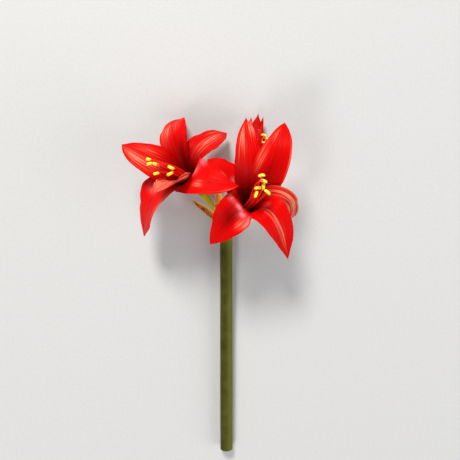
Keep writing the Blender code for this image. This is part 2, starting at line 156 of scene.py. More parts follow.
# Each tepal's pale spots are painted salmon highlights, or painted shade where below zero, and its sheen
# spots are a painted pink highlight.
LEFT_TEPALS = [
    tepal(182, (-99, 91, 70), (-125, 104, 40), 20, taper=1.0, pleat=1.3, shade=0.5,
          pale=[(0.73, -0.32, 0.75, 0.2, 0.35), (0.6, -0.38, 0.65, 0.15, 0.3),
                (0.61, 0.49, 0.35, 0.15, 0.25)]),
    tepal(122, (-76.5, 132, 33), (-56, 138.3, -12.5), 18.2, reach=20, twist=3, widest=0.56, taper=1.0,
          pleat=0.8, hook=1.5, shade=0.62,
          pale=[(0.66, -0.55, 1.0, 0.1, 0.35), (0.7, 0.19, 0.35, 0.08, 0.25), (0.25, 0.35, -0.6, 0.2, 0.3)]),
    tepal(66, (-26, 112, 44), (1, 119, -4), 18.5, twist=-35, taper=1.05, pleat=1.6, roll=1.4, shade=0.5,
          pale=[(0.55, 0.08, 1.9, 0.2, 0.22), (0.78, -0.38, 0.7, 0.1, 0.25)]),
    tepal(-16, (-34, 60, 96), (15, 57, 84), 23, twist=12, widest=0.32, taper=0.9, pleat=0.5, shade=0.3,
          pale=[(0.51, 0.25, 0.8, 0.05, 0.22), (0.86, 0.75, 0.8, 0.08, 0.15)],
          sheen=[(0.28, -0.38, 0.8, 0.07, 0.25), (0.38, -0.88, 0.9, 0.07, 0.15)]),
    tepal(-60, (-56, 64.5, 98), (-78, 51.5, 112), 18, twist=19, widest=0.62, taper=0.7, pleat=0.8,
          roll=-3.2, shade=0.25, pale=[(0.65, 0, 1.9, 0.35, 1.5)]),
    tepal(-112, (-94, 52, 70), (-102, -9, 32), 25, twist=-4, widest=0.41, pleat=0.9,
          pale=[(0.45, -0.9, 0.5, 0.15, 0.2)], sheen=[(0.4, 0.35, 0.5, 0.05, 0.3)]),
]
RIGHT_TEPALS = [
    tepal(98, (25, 86, 95), (24, 135, 50), 17.5, widest=0.43, taper=1.05, pleat=1.5, shade=0.66,
          bulges=[(0.88, 0.12, 0.05, 1, 2.5)],
          pale=[(0.78, -0.55, 1.2, 0.11, 0.22), (0.66, -0.32, 0.35, 0.1, 0.25),
                (0.62, -0.66, 0.35, 0.12, 0.12), (0.88, 0.6, 1.3, 0.08, 0.4)]),
    tepal(54, (60, 94, 92), (69, 129, 55), 19.5, pleat=1.2, shade=0.6,
          pale=[(0.53, -0.6, 0.5, 0.12, 0.12), (0.63, -0.84, 0.4, 0.12, 0.12), (0.83, -0.55, 0.7, 0.07, 0.25),
                (0.69, 1.0, 0.7, 0.25, 0.1), (0.5, 0.35, -0.25, 0.25, 0.6)]),
    tepal(-4, (69, 42, 99), (76, 9, 32), 20, twist=-22, pleat=1.3, wave=1.8, shade=0.5,
          pale=[(0.46, -1.0, 1.3, 0.25, 0.35), (0.64, -0.75, 2.6, 0.15, 0.4), (0.85, -0.7, 2.8, 0.18, 0.5)]),
    tepal(-54, (60, 42, 104), (75, -33, 60), 22.5, flare=8, reach=36, twist=-10, widest=0.28, taper=1.1,
          pleat=2.2, hook=1.0, shade=0.25, bulges=[(0.36, 0.2, 0.2, -1, -5.5)],
          pale=[(0.34, 0.19, 0.9, 0.1, 0.1), (0.53, 0.13, 1.3, 0.18, 0.1), (0.72, 0.06, 0.8, 0.15, 0.2)],
          sheen=[(0.26, -0.19, 0.4, 0.04, 0.2)]),
    tepal(-145, (14, 38, 112), (-18.6, -12, 70), 22, flare=10, twist=-15, widest=0.36, pleat=0.5, shade=0.3,
          bulges=[(0.36, 0.2, 0.055, -1, -6.5)],
          pale=[(0.5, -0.55, 0.8, 0.07, 0.2), (0.45, -0.85, 0.9, 0.06, 0.12), (0.52, 0.1, -0.7, 0.18, 0.55)],
          sheen=[(0.35, 0.7, 0.9, 0.035, 0.22), (0.34, 0.13, 1.4, 0.035, 0.22),
                 (0.39, -0.32, 1.3, 0.035, 0.22), (0.42, -0.8, 0.6, 0.05, 0.12)]),
    tepal(150, (-5, 85, 69), (-22, 86, 50), 18.5, twist=20, pleat=0.6, shade=0.45,
          pale=[(0.59, -0.25, 0.5, 0.05, 0.12)], sheen=[(0.45, 0.13, 0.5, 0.05, 0.2)]),
]
HALF_OPEN = {"flare": 16, "reach": 26, "roll": 0.4}
BACK_TEPALS = [
    tepal(40, (35, 100, -5.4), (41, 143, -3), 15, taper=1.15, **HALF_OPEN),
    tepal(-20, (41, 103, -5.6), (47, 139, -3), 14, twist=22, taper=1.15, **HALF_OPEN),
    tepal(-75, (65, 93, 2), (57, 112, 1), 16.5, taper=1.0, **HALF_OPEN),
    tepal(-135, (58, 93, 28), (54, 109, 20), 16.5, taper=1.0, **HALF_OPEN),
    tepal(165, (38, 100, 38), (37, 123, 28), 16, taper=1.0, **HALF_OPEN),
    tepal(105, (22, 98, 18), (31.5, 137.5, 11), 16, twist=-40, taper=1.0, shade=0.3,
          pale=[(0.86, 0, 1.6, 0.12, 0.9)], **HALF_OPEN),
]

# Each bloom: where its tube starts, where the tube's mouth is, its six tepals, where its anthers hang
# with their headings in degrees from +X, and its style: how far it runs straight, its bend and its end.
BLOOMS = {
    "left": {
        "base": (-30, 44, 12), "mouth": (-47, 64, 33), "tepals": LEFT_TEPALS,
        "anthers": [(-89, 87, 74, -8), (-87, 82, 81, 10), (-79, 71, 84, 15), (-61, 78, 92, -25),
                    (-62, 71, 96, 28), (-79, 82, 88, -12)],
        "style": (30, (-62, 83, 56), (-74, 81, 102)),
    },
    "right": {
        "base": (18, 18, 24), "mouth": (28, 32, 53), "tepals": RIGHT_TEPALS,
        "anthers": [(40, 70, 104, 20), (42, 64, 108, -20), (36, 56, 101, 10), (34, 49, 102, 70),
                    (46, 52, 110, -40), (42, 58, 103, 85)],
        "style": (45, (28, 59, 92), (38, 65, 114)),
    },
    "back": {
        "base": (6, 29, 0), "mouth": (20, 60, 4), "tepals": BACK_TEPALS,
        "anthers": [(48, 116, 8, 70), (52, 111, 6, 60), (41, 110, 12, 40), (42, 106, 0, 100),
                    (32, 105, -1, 120), (48, 106, 14, 20)],
        "style": (35, (36, 101, 3), (42, 121, 4)),
    },
}

# Each papery bract: its root, a control point, its tip, the way its hollow side faces, half its width,
# and how blunt its tip is.
BRACTS = {
    "left": {"root": (-8.7, 2, 0), "bend": (-21, 18.5, 3), "tip": (-45, 33, 8),
             "face": (0.35, 0.5, 0.8), "half_width": 6.4 * MM, "blunt": 7},
    "upper": {"root": (-2, 2.2, 8.0), "bend": (-9.5, 25, 16), "tip": (-10.5, 48, 19),
              "face": (0.35, -0.3, 0.85), "half_width": 9.4 * MM, "blunt": 8},
}


def number(name, words, default, **limits):
    return bpy.props.FloatProperty(name=name, description=words, default=default, min=0, **limits)


def length(name, words, default):
    return number(name, words, default, unit="LENGTH")


def colour(name, words, default):
    return bpy.props.FloatVectorProperty(name=name, description=words, default=default, size=3,
                                         min=0, max=1, subtype="COLOR")


class AmaryllisPetals(bpy.types.PropertyGroup):
    """Sizes and colours of the tepals and their tubes."""
    red: colour("Petal red", "Colour of a tepal's inner face in the open", (0.74, 0.0016, 0.0009))
    vein: colour("Vein red", "Colour along a tepal's veins", (0.46, 0.0010, 0.0007))
    # The throat's near-black red is partly the bloom's own darker throat and partly painted shade.
    throat: colour("Throat red", "Colour deep in the bloom", (0.075, 0.0005, 0.0008))
    outside: colour("Outer red", "Colour of a tepal's outer face", (0.60, 0.0020, 0.0011))
    # Salmon and pink are painted highlights: salmon streaks where light catches a tepal, and a cool pink
    # sheen on its folds.
    salmon: colour("Salmon", "Colour of a tepal's paler streaks", (1.0, 0.30, 0.18))
    pink: colour("Pink", "Colour of the cool sheen on a tepal's folds", (0.95, 0.30, 0.34))
    heel: colour("Heel green", "Tint at the foot of a tube, next to the ovary", (0.30, 0.27, 0.010))
    rim_thickness: length("Edge thickness", "Thickness of a tepal at its edge", 0.30 * MM)
    rib_thickness: length("Midrib thickness", "Thickness of a tepal along its midrib", 0.85 * MM)
    pleat: length("Rib depth", "Height of the low ribs that run along a tepal", 0.15 * MM)
    pleats: number("Ribs", "Number of ribs across a tepal", 9.0)
    groove: length("Midrib groove", "Depth of the groove over the midrib", 0.7 * MM)
    roughness: number("Roughness", "Roughness of a tepal's inner face", 0.38, max=1, subtype="FACTOR")


class AmaryllisStamens(bpy.types.PropertyGroup):
    """Sizes and colours of the filaments, anthers and pistils."""
    filament: colour("Filament red", "Colour of the filaments and styles", (1.0, 0.020, 0.010))
    anther: colour("Anther yellow", "Colour of the pollen", (1.0, 0.92, 0.016))
    stigma: colour("Stigma pink", "Colour of the three stigma lobes", (0.92, 0.03, 0.03))
    filament_radius: length("Filament radius", "Radius of a filament at half its length", 1.15 * MM)
    anther_length: length("Anther length", "Length of an anther from end to end", 7.8 * MM)
    anther_radius: length("Anther radius", "Radius of an anther at its middle", 1.60 * MM)


class AmaryllisScape(bpy.types.PropertyGroup):
    """Sizes and colours of the scape, its flower stalks and its bracts."""
    green: colour("Scape green", "Main colour of the scape", (0.036, 0.032, 0.0006))
    light: colour("Stalk green", "Colour of the young flower stalks and ovaries", (0.66, 0.58, 0.012))
    pith: colour("Pith", "Colour of the cut end and the bore", (0.55, 0.62, 0.30))
    rib: length("Rib height", "Height of the fine ribs along the scape", 0.07 * MM)
    bract: colour("Bract brown", "Colour of the papery bracts", (1.0, 0.27, 0.012))
    bract_edge: colour("Bract cream", "Colour of the bracts' dry edges", (1.0, 0.78, 0.30))


class AmaryllisStage(bpy.types.PropertyGroup):
    """The floor, the lights and the camera."""
    floor: colour("Floor", "Colour of the floor", (0.61, 0.61, 0.60))
    distance: length("Camera distance", "Distance from the camera to its target", 0.728)
    elevation: number("Camera elevation", "Angle of the view above the floor", math.radians(82),
                      subtype="ANGLE")
    lens: number("Lens", "Focal length on a 36 mm sensor", 43.83, unit="CAMERA")
    key: number("Key light", "Power of the key light in watts", 92.0)
    fill: number("Fill light", "Power of the fill light in watts", 36.0)
    lift: number("Lift light", "Power in watts of the low light that reaches under the blooms", 26.0)
    air: number("Sky", "Strength of the even light from all round", 0.34)


def unit(vector):
    return np.asarray(vector, float) / np.linalg.norm(vector)


def smooth_curve(points, fractions):
    """Points at the given fractions of the length of a Bezier curve, made by repeated blending."""
    level = [np.asarray(point, float)[None] for point in points]
    t = np.linspace(0, 1, CURVE_STEPS)[:, None]
    while len(level) > 1:
        level = [a * (1 - t) + b * t for a, b in zip(level[:-1], level[1:])]
    curve = level[0]
    run = np.concatenate([[0], np.cumsum(np.linalg.norm(np.diff(curve, axis=0), axis=1))])
    return np.stack([np.interp(fractions * run[-1], run, curve[:, k]) for k in range(3)], axis=-1)


def carried_frames(curve, first_normal):
    """Unit tangents, and normals carried along the curve without turning about it."""
    tangents = np.gradient(curve, axis=0)
    tangents /= np.linalg.norm(tangents, axis=1)[:, None]
    normals = []
    normal = unit(first_normal)
    for tangent in tangents:
        normal = unit(normal - normal @ tangent * tangent)
        normals.append(normal)
    return tangents, np.array(normals)


def axis_frame(axis):
    """Two unit vectors across an axis: one to the side and one as far up +Y as can be."""
    up = unit(np.array([0, 1, 0]) - axis[1] * axis)
    return np.cross(up, axis), up


def bloom_places(bloom):
    """The base, unit axis and two cross directions of a bloom's tube."""
    base = np.array(bloom["base"]) * MM
    axis = unit(np.array(bloom["mouth"]) * MM - base)
    side, up = axis_frame(axis)
    return base, axis, side, up


def umbel_place():
    """The umbel in the row frame: up the scape's slope from the middle of the ring at its cut end."""
    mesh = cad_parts["scape"].data
    points = np.empty(len(mesh.vertices) * 3)
    mesh.vertices.foreach_get("co", points)
    points = points.reshape(-1, 3)
    ring = points[points[:, 1] < points[:, 1].min() + MM]
    middle = (ring.min(axis=0) + ring.max(axis=0)) / 2
    return middle + np.array([0, SCAPE_LENGTH, SCAPE_DROP])


UMBEL = umbel_place()


def soft_noise(seed, q, v, q_waves, v_waves, count=7):
    """Smooth noise about zero: a sum of sine waves with seeded slants and phases."""
    draw = np.random.default_rng(seed)
    total = 0
    for _ in range(count):
        slant_q, slant_v = draw.uniform(-1, 1, 2) * (q_waves, v_waves)
        total = total + np.sin(FULL_TURN * (slant_q * q + slant_v * v) + draw.uniform(0, FULL_TURN))
    return total / math.sqrt(count)


def smooth_step(low, high, value):
    """A ramp from 0 at low to 1 at high with a soft start and end."""
    t = np.clip((value - low) / (high - low), 0, 1)
    return t * t * (3 - 2 * t)


def round_turns(count):
    """A row of angles spaced evenly round a full turn."""
    return np.linspace(0, FULL_TURN, count, endpoint=False)[None]


def around(turn, first, second):
    """The direction at an angle from the first of two that stand across each other, towards the second."""
    return np.cos(turn) * first + np.sin(turn) * second


def grid_quads(rows, columns, start=0, loop=False):
    """The corner numbers of the quads of a grid of points, which may close round its columns."""
    index = start + np.arange(rows * columns).reshape(rows, columns)
    if loop:
        index = np.concatenate([index, index[:, :1]], axis=1)
    return np.stack([index[:-1, :-1], index[:-1, 1:], index[1:, 1:], index[1:, :-1]], axis=-1).reshape(-1, 4)


def linked(name, data):
    """A new object in the scene."""
    made = bpy.data.objects.new(name, data)
    bpy.context.scene.collection.objects.link(made)
    return made


def piece(name, parts, node, finish):
    """One object from parts, each a dict of points, faces and values per point, on its place in the frame."""
    faces = []
    start = 0
    for part in parts:
        faces += [[corner + start for corner in face] for face in part["faces"]]
        start += len(part["points"])
    points = np.concatenate([part["points"] for part in parts]) + UMBEL
    mesh = bpy.data.meshes.new(name)
    mesh.from_pydata(points.tolist(), [], faces)
    for key in parts[0]["values"]:
        layer = mesh.attributes.new(key, "FLOAT", "POINT")
        values = np.concatenate([part["values"][key] for part in parts])
        layer.data.foreach_set("value", values.astype(np.float32))
    shape = bmesh.new()
    shape.from_mesh(mesh)
    bmesh.ops.recalc_face_normals(shape, faces=shape.faces)
    shape.to_mesh(mesh)
    shape.free()
    mesh.shade_smooth()
    mesh.set_sharp_from_angle(angle=math.radians(50))
    mesh.materials.append(finish)
    made = linked(name, mesh)
    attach(made, "root")
    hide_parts(node)


def closed_blade(upper, lower, **values):
    """A blade between two grids of points, joined along their four edges.

    values are grids that both faces share. The value inside is 1 on the upper face and 0 on the lower.
    """
    rows, columns = upper.shape[:2]
    size = rows * columns
    index = np.arange(size).reshape(rows, columns)
    border = np.concatenate([index[:, 0], index[-1, 1:], index[-2::-1, -1], index[0, -2:0:-1]])
    far = np.roll(border, -1)
    walls = np.stack([border, far, far + size, border + size], axis=-1)
    faces = np.concatenate([grid_quads(rows, columns), grid_quads(rows, columns, size)[:, ::-1], walls])
    shared = {"inside": np.repeat([1.0, 0.0], size)}
    for key, grid in values.items():
        shared[key] = np.tile(np.broadcast_to(grid, (rows, columns)).ravel(), 2)
    return {"points": np.concatenate([upper.reshape(-1, 3), lower.reshape(-1, 3)]),
            "faces": faces.tolist(), "values": shared}


def arched_blade(midrib, sides, normals, half, cup, v, relief, thick, **values):
    """A closed blade along a midrib.

    Its section is an arc of the given half width and half angle, with a relief added along the normals
    and half its thickness laid to each side of that.
    """
    across = half / cup * np.sin(cup * v)
    lift = half / cup * (1 - np.cos(cup * v)) + relief
    middle = midrib[:, None] + across[..., None] * sides[:, None] + lift[..., None] * normals[:, None]
    facing = np.cross(np.gradient(middle, axis=1), np.gradient(middle, axis=0))
    facing /= np.linalg.norm(facing, axis=2)[..., None]
    return closed_blade(middle + thick / 2 * facing, middle - thick / 2 * facing, **values)


def closed_sweep(rings, **values):
    """A closed body through rings of points, with a pole in the middle of each end.

    values are grids over the rings, and each pole takes the mean of its ring.
    """
    rows, columns = rings.shape[:2]
    points = np.concatenate([rings.reshape(-1, 3), rings[:1].mean(axis=1), rings[-1:].mean(axis=1)])
    first = np.arange(columns)
    last = first + (rows - 1) * columns
    size = rows * columns
    faces = grid_quads(rows, columns, loop=True).tolist()
    faces += np.stack([np.roll(first, -1), first, np.full(columns, size)], axis=-1).tolist()
    faces += np.stack([last, np.roll(last, -1), np.full(columns, size + 1)], axis=-1).tolist()
    spread = {}
    for key, grid in values.items():
        grid = np.broadcast_to(grid, (rows, columns)).astype(float)
        spread[key] = np.concatenate([grid.ravel(), [grid[0].mean(), grid[-1].mean()]])
    return {"points": points, "faces": faces, "values": spread}


def swept_rings(curve, radii, sides, first_normal):
    """Rings round a curve. radii is a grid of distances from the curve, one row for each of its points."""
    tangents, normals = carried_frames(curve, first_normal)
    turns = round_turns(sides)[..., None]
    spokes = around(turns, normals[:, None], np.cross(tangents, normals)[:, None])
    return curve[:, None] + np.broadcast_to(radii, (len(curve), sides))[..., None] * spokes


def feed(tree, socket, value):
    """Set a socket to a plain value, or link it to the one that feeds it or to the mesh's value of a name."""
    if isinstance(value, str):
        value = add_node(tree, "ShaderNodeAttribute", {}, attribute_name=value).outputs["Fac"]
    if isinstance(value, bpy.types.NodeSocket):
        tree.links.new(value, socket)
    else:
        socket.default_value = value


def add_node(tree, kind, inputs, **settings):
    """A shader node, set up, with its inputs fed."""
    made = tree.nodes.new(kind)
    for key, value in settings.items():
        setattr(made, key, value)
    for key, value in inputs.items():
        feed(tree, made.inputs[key], value)
    return made


def maths(tree, operation, *values, **settings):
    inputs = dict(enumerate(values))
    return add_node(tree, "ShaderNodeMath", inputs, operation=operation, **settings).outputs[0]


def tinted(tree, base, *tints):
    """A colour drawn towards each tint in turn, by a mask times a strength, held between 0 and 1."""
    for tint, mask, strength in tints:
        factor = maths(tree, "MULTIPLY", mask, strength, use_clamp=True)
        pair = [value if isinstance(value, bpy.types.NodeSocket) else (*value, 1) for value in (base, tint)]
        inputs = {0: factor, 6: pair[0], 7: pair[1]}
        base = add_node(tree, "ShaderNodeMix", inputs, data_type="RGBA").outputs[2]
    return base


def ramp(tree, value, low, high, to_low=0.0, to_high=1.0):
    """A value carried smoothly from one range to another."""
    inputs = {"Value": value, "From Min": low, "From Max": high, "To Min": to_low, "To Max": to_high}
    return add_node(tree, "ShaderNodeMapRange", inputs, interpolation_type="SMOOTHSTEP").outputs["Result"]


def masked(tree, name, inputs, build):
    """The mask of a node group with named number inputs, which build fills on its first use."""
    group = bpy.data.node_groups.get(name)
    if group is None:
        group = bpy.data.node_groups.new(name, "ShaderNodeTree")
        for socket in inputs:
            group.interface.new_socket(socket, in_out="INPUT", socket_type="NodeSocketFloat")
        group.interface.new_socket("Mask", in_out="OUTPUT", socket_type="NodeSocketFloat")
        mask = build(group, group.nodes.new("NodeGroupInput").outputs)
        group.links.new(mask, group.nodes.new("NodeGroupOutput").inputs["Mask"])
    return add_node(tree, "ShaderNodeGroup", inputs, node_tree=group).outputs["Mask"]


def streak_nodes(tree, given):
    """Long streaks: noise that is fine across a surface and drawn out along it."""
    x = maths(tree, "MULTIPLY", given["Across"], given["Streaks"])
    y = maths(tree, "MULTIPLY", given["Along"], given["Breaks"])
    place = add_node(tree, "ShaderNodeCombineXYZ", {0: x, 1: y, 2: given["Seed"]}).outputs[0]
    inputs = {"Vector": place, "Scale": 1.0, "Detail": 3.0, "Roughness": 0.55}
    return ramp(tree, add_node(tree, "ShaderNodeTexNoise", inputs).outputs["Fac"], 0.3, 0.7)


def mottle_nodes(tree, given):
    """Even mottling in the object's own coordinates, soft or grainy by its scale."""
    place = add_node(tree, "ShaderNodeTexCoord", {}).outputs["Object"]
    inputs = {"Vector": place, "Scale": given["Scale"], "Detail": 2.0}
    return ramp(tree, add_node(tree, "ShaderNodeTexNoise", inputs).outputs["Fac"], 0.25, 0.75)


def streaks(tree, count, breaks, seed=0.0):
    """So many streaks across a surface, broken so often along it."""
    inputs = {"Across": "across", "Along": "along", "Streaks": count, "Breaks": breaks, "Seed": seed}
    return masked(tree, "lengthwise_streaks", inputs, streak_nodes)


def mottle(tree, scale):
    return masked(tree, "even_mottle", {"Scale": scale}, mottle_nodes)


def bumps(tree, *layers):
    """The normal after bump nodes in a row, from heights with their depths in metres."""
    normal = {}
    for height, depth in layers:
        inputs = {"Strength": 1.0, "Distance": depth, "Height": height, **normal}
        normal = {"Normal": add_node(tree, "ShaderNodeBump", inputs).outputs["Normal"]}
    return normal["Normal"]


def material(name, look, *settings):
    """The material of this name. On its first use, look gives its colour, roughness, normal and gloss."""
    made = bpy.data.materials.get(name)
    if made is None:
        made = bpy.data.materials.new(name)
        made.use_nodes = True
        shader = made.node_tree.nodes["Principled BSDF"]
        sockets = ("Base Color", "Roughness", "Normal", "Specular IOR Level")
        for key, value in zip(sockets, look(made.node_tree, *settings)):
            feed(made.node_tree, shader.inputs[key], value)
    return made


def petal_look(tree, petals):
    """Satin red, lengthwise streaks, darker veins, painted highlights and shade, and a throat near black."""
    veins = streaks(tree, 13.0, 1.2, "seed")
    glints = streaks(tree, 17.0, 2.0, maths(tree, "ADD", "seed", 9.0))
    fine = streaks(tree, 55.0, 5.0, "seed")
    # Painted shade, partly the bloom's own dark throat: the throat's red down the midrib groove and where the
    # tepal has not yet left the throat.
    face = tinted(tree, petals.red, (petals.vein, veins, 0.30), (petals.throat, "rib", 0.40))
    face = tinted(tree, petals.throat, (face, "open", 1.0))
    back = tinted(tree, petals.outside, (petals.vein, veins, 0.5))
    back = tinted(tree, petals.heel, (back, ramp(tree, "along", -0.30, -0.05), 1.0))
    # Spots of pale below zero are painted shade, spots above zero painted salmon highlights broken into
    # streaks, and the sheen spots a painted pink highlight.
    base = tinted(tree, back, (face, "inside", 1.0), (petals.vein, mottle(tree, 45.0), 0.10),
                  (petals.throat, "pale", -1.0),
                  (petals.salmon, "pale", ramp(tree, glints, 0.35, 0.95, 0.04, 1.19)),
                  (petals.pink, "sheen", maths(tree, "MULTIPLY_ADD", fine, 0.8, 0.15)))
    roughness = ramp(tree, fine, 0.0, 1.0, petals.roughness - 0.06, petals.roughness + 0.10)
    normal = bumps(tree, (veins, 0.10 * MM), (fine, 0.05 * MM), (mottle(tree, 1600.0), 0.012 * MM))
    return base, roughness, normal, 0.040


def filament_look(tree, tint):
    """Glossy stalk with faint streaks along it."""
    fine = streaks(tree, 6.0, 3.0)
    base = tinted(tree, tint, ([0.7 * channel for channel in tint], fine, 0.35))
    return base, ramp(tree, fine, 0.0, 1.0, 0.32, 0.46), bumps(tree, (fine, 0.04 * MM)), 0.5


def pollen_look(tree, stamens):
    """Dry yellow grains, with ochre painted shade in the crease of the seam between the two pollen sacs."""
    grain = mottle(tree, 2600.0)
    base = tinted(tree, stamens.anther, (POLLEN_LIGHT, mottle(tree, 420.0), 0.5), (POLLEN_SEAM_SHADE, "seam", 0.55))
    return base, ramp(tree, grain, 0.0, 1.0, 0.75, 0.95), bumps(tree, (grain, 0.12 * MM)), 0.25


def scape_look(tree, scape):
    """Olive green skin with fine streaks, painted light down one side, lighter young stalks, and pale pith.
    """
    fine = streaks(tree, 42.0, 9.0)
    broad = streaks(tree, 9.0, 3.0, 4.0)
    # Painted light: one side of the skin drawn towards a lighter tone.
    sunny = ramp(tree, "sunny", 0.35, 1.0)
    old = tinted(tree, scape.green, (SCAPE_STREAK, broad, 0.5), (SCAPE_PAINTED_LIGHT, sunny, 0.75),
                 (SCAPE_VEIN, fine, 0.28), (SCAPE_CLOUD, mottle(tree, 60.0), 0.15))
    fresh = tinted(tree, scape.light, (STALK_STREAK, broad, 0.6), (STALK_VEIN, fine, 0.25))
    pith = tinted(tree, scape.pith, (PITH_SPECK, ramp(tree, mottle(tree, 900.0), 0.55, 0.9), 0.6))
    base = tinted(tree, old, (fresh, "young", 1.0), (pith, "cut", 1.0))
    normal = bumps(tree, (fine, 0.05 * MM), (mottle(tree, 1500.0), 0.010 * MM))
    return base, ramp(tree, fine, 0.0, 1.0, 0.36, 0.52), normal, 0.08


def bract_look(tree, scape):
    """Dry paper: brown between fine veins, cream and thin towards the edges and the tip."""
    veins = streaks(tree, 9.0, 2.0)
    one_edge = ramp(tree, "across", 0.15, 0.55)
    other_edge = ramp(tree, maths(tree, "MULTIPLY", "across", -1.0), 0.75, 1.0)
    tip = ramp(tree, "along", 0.80, 1.0)
    pale = maths(tree, "MAXIMUM", maths(tree, "MAXIMUM", one_edge, other_edge), tip)
    base = tinted(tree, scape.bract, (BRACT_VEIN, veins, 0.5),
                  (BRACT_BLOTCH, ramp(tree, mottle(tree, 190.0), 0.35, 0.8), 0.85),
                  (scape.bract_edge, ramp(tree, mottle(tree, 420.0), 0.5, 0.9), 0.5),
                  (scape.bract_edge, pale, ramp(tree, veins, 0.0, 0.6, 0.65, 1.0)))
    normal = bumps(tree, (veins, 0.16 * MM), (mottle(tree, 700.0), 0.05 * MM))
    return base, ramp(tree, veins, 0.0, 1.0, 0.55, 0.8), normal, 0.10


def floor_look(tree, stage):
    """Pale and matt, with a faint even grain."""
    grain = mottle(tree, 300.0)
    base = tinted(tree, stage.floor, ([0.96 * channel for channel in stage.floor], grain, 1.0))
    return base, ramp(tree, grain, 0.0, 1.0, 0.6, 0.7), bumps(tree, (grain, 0.02 * MM)), 0.5


def outline(q, petal):
    """Half the width of a tepal: widest part way along, and drawn out to a fine point."""
    widest, taper = petal["widest"], petal["taper"]
    rise = taper * widest / (1 - widest)
    body = (q / widest) ** rise * ((1 - q) / (1 - widest)) ** taper
    point = 0.9 * MM * (1 - smooth_step(0.965, 1.0, q)) + 0.25 * MM
    return np.maximum(ROOT_HALF_WIDTH * (1 - q) ** 2 + petal["half_width"] * body, point)


def patches(spots, q, v):
    """The sum of soft oval spots on a blade, each a strength times a bell curve along and across it."""
    total = 0 * q * v
    for place, offset, strength, long, wide in spots:
        total = total + strength * np.exp(-((q - place) / long) ** 2 - ((v - offset) / wide) ** 2)
    return total


def edge_bulges(bulges, q, v):
    """Extra half width along one edge: bell curves that fade at their own rate to each side."""
    total = 0 * q * v
    for place, before, after, edge, extra in bulges:
        fade = np.where(q < place, before, after)
        total = total + extra * MM * (np.sign(v) == edge) * np.exp(-((q - place) / fade) ** 2)
    return total


def tepal_frames(bloom, petal, order, marks):
    """Places, sides and normals along a tepal's midrib, at marks from 0 at its root to 1 at its point.

    The midrib is a Bezier curve that leaves the tube's wall at the flare's angle. The frame carried
    along it turns by the twist.
    """
    base, axis, side, up = bloom_places(bloom)
    spoke = around(petal["turn"], side, up)
    root_height = TUBE_LENGTH - ROOT_DEPTH
    whorl = WHORL_STEP * (-1) ** order
    root = base + root_height * axis + (tube_radius(root_height) - ROOT_WALL + whorl) * spoke
    flare = petal["flare"]
    leave = root + petal["reach"] * around(flare, axis, spoke)
    steps = np.linspace(0, 1, CURVE_STEPS)
    midrib = smooth_curve([root, leave, petal["shoulder"], petal["tip"]], steps)
    tangents, normals = carried_frames(midrib, around(flare, -spoke, axis))
    sides = np.cross(tangents, normals)
    twist = (petal["twist"] * steps ** 1.3)[:, None]
    fields = (midrib, around(twist, sides, normals), around(twist, normals, -sides))
    return [np.stack([np.interp(marks, steps, field[:, k]) for k in range(3)], axis=-1) for field in fields]


def tepal_surface(bloom, petal, order, petals, rows=96, columns=81):
    """A tepal as a closed blade.

    Across its midrib lies an arc, with waves that grow towards the edges, ribs that run from root to
    point, a groove over the midrib and edges rolled back. The blade is thick at the midrib and thin at
    the edges. Its rows lie closer together half way along, and its columns towards the edges.
    """
    marks = np.linspace(0, 1, rows)
    marks = marks + 0.045 * np.sin(FULL_TURN * marks)
    q = marks[:, None]
    v = np.linspace(-1, 1, columns)[None]
    v = 0.5 * np.sin(np.pi / 2 * v) + 0.5 * v
    edge = np.abs(v)
    seed = 100 * order + int(1000 * abs(bloom["base"][0])) + len(bloom["tepals"])
    half = outline(q, petal) * (1 + 0.012 * soft_noise(seed, q, np.sign(v), 9, 0.3))
    half = half + edge_bulges(petal["bulges"], q, v)
    cup = ROOT_CUP * (1 - q) ** 3 + BLADE_CUP * 3 * q * (1 - q) + TIP_CUP * q ** 3
    fade = np.clip(3 * q, 0, 1) * np.clip(4 * (1 - q), 0, 1)
    wave = petal["wave"] * WAVE * fade * edge ** 2.5
    wave = wave * np.sin(FULL_TURN * WAVES * q + 1.3 * order + 1.7 * (v > 0))
    frill = TEPAL_FRILL * fade * edge ** 5 * soft_noise(seed + 1, q, 0.4 * np.sign(v), 9, 1)
    ribs = petals.pleat * petal["pleat"] * np.cos(FULL_TURN * petals.pleats * v / 2)
    ribs = ribs * fade * (1 - edge ** 4) * (0.7 + 0.5 * soft_noise(seed + 2, q, v, 2.5, 1.2))
    swell = TEPAL_SWELL * fade * soft_noise(seed + 3, q, v, 1.6, 0.7)
    groove = petals.groove * np.exp(-(v * half / GROOVE_HALF_WIDTH) ** 2) * (1 - q) ** 0.6
    groove = groove * smooth_step(0, 0.2, q)
    roll = petal["roll"] * smooth_step(0.62, 1.0, edge) ** 2 * fade
    hook = petal["hook"] * smooth_step(0.90, 1.0, q) ** 2
    relief = wave + frill + ribs + swell - groove - roll - hook
    thick = (petals.rib_thickness - petals.rim_thickness) * np.exp(-(v * half / RIB_HALF_WIDTH) ** 2)
    thick = (petals.rim_thickness + thick) * (1 - 0.45 * q)
    # Painted shade, partly the bloom's own dark midrib: a mask down the midrib groove, strongest at the root.
    rib = np.exp(-(v * half / RIB_SHADE_HALF_WIDTH) ** 2) * (1 - q)
    frames = tepal_frames(bloom, petal, order, marks)
    # open ramps from the throat's dark red, partly painted shade, to the open blade; pale and sheen carry the
    # painted highlight and painted shade spots.
    return arched_blade(*frames, half, cup, v, relief, thick[..., None], along=q, across=v, seed=3.7 * order,
                        open=smooth_step(0.02, petal["shade"], q), rib=rib,
                        pale=patches(petal["pale"], q, v), sheen=patches(petal["sheen"], q, v))


def tube_radius(height):
    """Outer radius of a perianth tube at a height above its base."""
    return TUBE_BASE_RADIUS + (TUBE_MOUTH_RADIUS - TUBE_BASE_RADIUS) * (height / TUBE_LENGTH) ** 2


